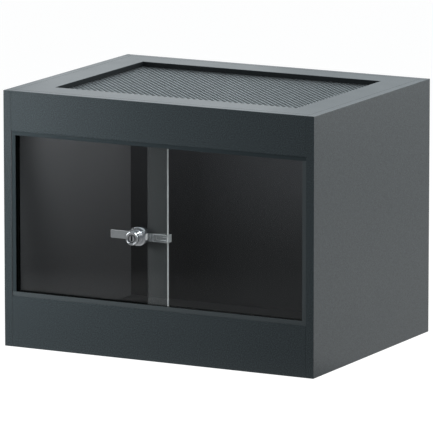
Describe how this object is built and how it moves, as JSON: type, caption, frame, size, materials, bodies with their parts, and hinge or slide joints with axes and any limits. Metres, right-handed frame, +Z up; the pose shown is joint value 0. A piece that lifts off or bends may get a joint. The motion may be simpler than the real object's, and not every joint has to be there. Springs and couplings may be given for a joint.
{
  "type": "terrarium cabinet",
  "caption": "Dark melamine terrarium cabinet with a framed mesh vent top, sliding glass doors in plastic channels and a key-operated ratchet door lock.",
  "frame": {"origin": "centre of the cabinet's base, on the floor", "axes": "+X to the right seen from the front, +Y to the rear, +Z up"},
  "size_m": [0.6, 0.475, 0.45],
  "materials": {
    "board": "dark anthracite melamine foil on chipboard, matt with a fine grain",
    "glass": "clear float glass with ground edges",
    "channel": "dark extruded plastic, satin",
    "mesh": "punched sheet, dull mill finish",
    "fitting": "zinc plated",
    "spring": "bright spring wire",
    "dowel": "plain beech",
    "lock": "polished chrome plate on zinc casting and steel strip",
    "pawl": "turned",
    "pad": "soft black vinyl"
  },
  "bodies": {
    "carcass": {"left_side_panel": "board", "right_side_panel": "board", "back_panel": "board", "floor_panel": "board", "top_panel": "board", "front_bottom_rail": "board", "front_top_rail": "board", "vent_mesh": "mesh", "mesh_batten_front": "board", "mesh_batten_back": "board", "mesh_batten_left": "board", "mesh_batten_right": "board", "batten_screw_1": "fitting", "batten_screw_2": "fitting", "batten_screw_3": "fitting", "batten_screw_4": "fitting", "batten_screw_5": "fitting", "batten_screw_6": "fitting", "back_screw_1": "fitting", "back_screw_2": "fitting", "back_screw_3": "fitting", "back_screw_4": "fitting", "floor_cam_nut_1": "fitting", "floor_cam_nut_2": "fitting", "floor_cam_nut_3": "fitting", "floor_cam_nut_4": "fitting", "floor_cam_bolt_1": "fitting", "floor_cam_bolt_2": "fitting", "floor_cam_bolt_3": "fitting", "floor_cam_bolt_4": "fitting", "top_cam_nut_1": "fitting", "top_cam_nut_2": "fitting", "top_cam_nut_3": "fitting", "top_cam_nut_4": "fitting", "top_cam_bolt_1": "fitting", "top_cam_bolt_2": "fitting", "top_cam_bolt_3": "fitting", "top_cam_bolt_4": "fitting", "rail_dowel_1": "dowel", "rail_dowel_2": "dowel", "rail_dowel_3": "dowel", "rail_dowel_4": "dowel", "rail_dowel_5": "dowel", "rail_dowel_6": "dowel", "rail_dowel_7": "dowel", "rail_dowel_8": "dowel", "lower_door_track": "channel", "upper_door_track": "channel", "left_door_channel": "channel", "right_door_channel": "channel"},
    "left_door": {"left_glass_door": "glass", "lock_hook_bar": "lock", "lock_bar_pad": "pad"},
    "right_door": {"right_glass_door": "glass", "lock_body": "lock", "lock_plug_pin": "fitting", "lock_spring": "spring"},
    "key_plug": {"lock_plug": "lock"},
    "pawl": {"lock_pawl": "pawl"}
  },
  "joints": [
    {"name": "left_door_slide", "type": "slide", "parent": "carcass", "child": "left_door", "axis": [1, 0, 0], "range_m": [0, 0.25]},
    {"name": "right_door_slide", "type": "slide", "parent": "carcass", "child": "right_door", "axis": [-1, 0, 0], "range_m": [0, 0.22]},
    {"name": "plug_turn", "type": "hinge", "parent": "right_door", "child": "key_plug", "pos_m": [-0.036, -0.24, 0.2163], "axis": [0, -1, 0], "range_deg": [0, 90]},
    {"name": "pawl_slide", "type": "slide", "parent": "right_door", "child": "pawl", "axis": [0, -1, 0], "range_m": [0, 0.0017], "deforming": ["lock_spring"]}
  ],
  "couplings": [
    {"joint": "pawl_slide", "follows": "plug_turn", "m_per_rad": 0.00095}
  ]
}
